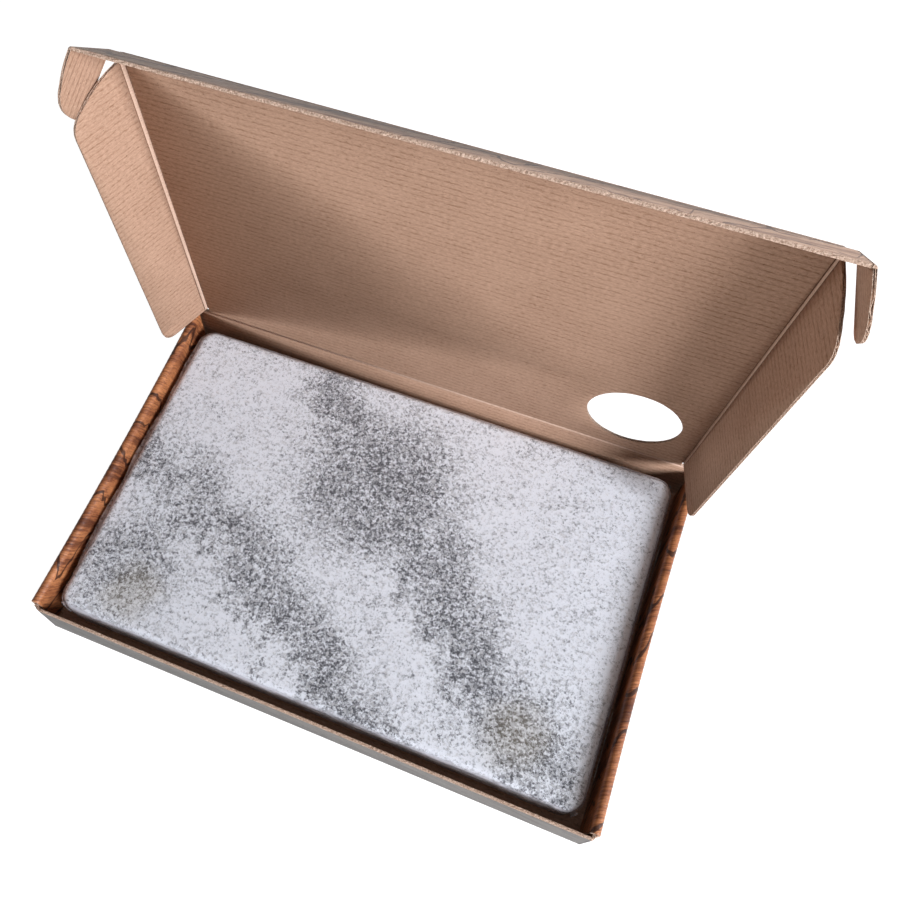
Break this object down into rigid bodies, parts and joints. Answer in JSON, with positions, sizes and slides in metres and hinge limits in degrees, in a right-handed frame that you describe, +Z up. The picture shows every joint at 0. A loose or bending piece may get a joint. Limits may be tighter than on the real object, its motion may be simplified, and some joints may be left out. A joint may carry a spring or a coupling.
{
  "type": "boxed rosin cake",
  "caption": "Film-wrapped mottled resin slab lying in a shallow corrugated mailer box with double side walls, hinged lid, side flaps and a tuck flap with ears.",
  "frame": {"origin": "middle of the tray's flat underside", "axes": "+Z up; +X along the lid hinge, to the right when the open lid stands behind; +Y from the front wall to the lid hinge"},
  "size_m": [0.3089, 0.198, 0.2431],
  "materials": {
    "kraft_board": "matte unbleached kraft liner",
    "kraft_flap": "matte unbleached kraft liner",
    "printed_board": "glossy wood-grain print",
    "resin": "mottled matte slab, pale with grey clouds",
    "film": "clear glossy wrapping film"
  },
  "bodies": {
    "tray": {"base_panel": "kraft_board", "front_wall": "printed_board", "back_wall": "kraft_board", "left_outer_wall": "printed_board", "right_outer_wall": "printed_board", "left_top_roll": "printed_board", "right_top_roll": "printed_board", "left_inner_wall": "printed_board", "right_inner_wall": "printed_board", "front_left_dust_flap": "kraft_flap", "front_right_dust_flap": "kraft_flap", "back_left_dust_flap": "kraft_flap", "back_right_dust_flap": "kraft_flap"},
    "lid": {"lid_panel": "kraft_board"},
    "left_crease": {"lid_left_crease": "kraft_flap"},
    "left_flap": {"lid_left_flap": "kraft_flap"},
    "right_crease": {"lid_right_crease": "kraft_flap"},
    "right_flap": {"lid_right_flap": "kraft_flap"},
    "front_crease": {"lid_front_crease": "kraft_flap"},
    "tuck": {"tuck_flap": "printed_board"},
    "left_ear": {"left_ear": "kraft_flap"},
    "right_ear": {"right_ear": "kraft_flap"},
    "cake": {"rosin_cake": "resin", "film_upper_sheet": "film", "film_lower_sheet": "film", "film_gather_front_left": "film", "film_gather_front_right": "film", "film_gather_back_left": "film", "film_gather_back_right": "film"}
  },
  "joints": [
    {"name": "lid_hinge", "type": "hinge", "parent": "tray", "child": "lid", "pos_m": [0, 0.0983, 0.033], "axis": [-1, 0, 0], "range_deg": [-87, 93]},
    {"name": "left_flap_splay", "type": "hinge", "parent": "lid", "child": "left_crease", "pos_m": [-0.13915, 0.0976, 0.03296], "axis": [0, -0.0523, 0.9986], "range_deg": [-78, 83.39]},
    {"name": "left_flap_fold", "type": "hinge", "parent": "left_crease", "child": "left_flap", "pos_m": [-0.14004, 0.09559, 0.03286], "axis": [0, 0.0523, -0.9986], "range_deg": [-102, 0]},
    {"name": "right_flap_splay", "type": "hinge", "parent": "lid", "child": "right_crease", "pos_m": [0.13915, 0.0976, 0.03296], "axis": [0, 0.0523, -0.9986], "range_deg": [-84, 89.8]},
    {"name": "right_flap_fold", "type": "hinge", "parent": "right_crease", "child": "right_flap", "pos_m": [0.13983, 0.09551, 0.03285], "axis": [0, -0.0523, 0.9986], "range_deg": [-102, 0]},
    {"name": "tuck_roll", "type": "hinge", "parent": "lid", "child": "front_crease", "pos_m": [0, 0.08767, 0.2224], "axis": [1, 0, 0], "range_deg": [-46.51, 43.51]},
    {"name": "tuck_spring", "type": "hinge", "parent": "front_crease", "child": "tuck", "pos_m": [0, 0.086, 0.22383], "axis": [-1, 0, 0], "range_deg": [0, 14]},
    {"name": "left_ear_fold", "type": "hinge", "parent": "tuck", "child": "left_ear", "pos_m": [-0.1432, 0.086, 0.22383], "axis": [0, 0.7604, -0.6494], "range_deg": [-18.51, 19.79]},
    {"name": "right_ear_fold", "type": "hinge", "parent": "tuck", "child": "right_ear", "pos_m": [0.1432, 0.086, 0.22383], "axis": [0, -0.7604, 0.6494], "range_deg": [-22.51, 24.07]},
    {"name": "cake_lift", "type": "slide", "parent": "tray", "child": "cake", "axis": [0, 0, 1], "range_m": [0, 0.08]}
  ],
  "couplings": [
    {"joint": "left_flap_splay", "follows": "lid_hinge", "ratio": 0.89655},
    {"joint": "right_flap_splay", "follows": "lid_hinge", "ratio": 0.96552},
    {"joint": "tuck_roll", "follows": "lid_hinge", "ratio": -0.5},
    {"joint": "left_ear_fold", "follows": "lid_hinge", "ratio": 0.21264},
    {"joint": "right_ear_fold", "follows": "lid_hinge", "ratio": 0.25862}
  ]
}
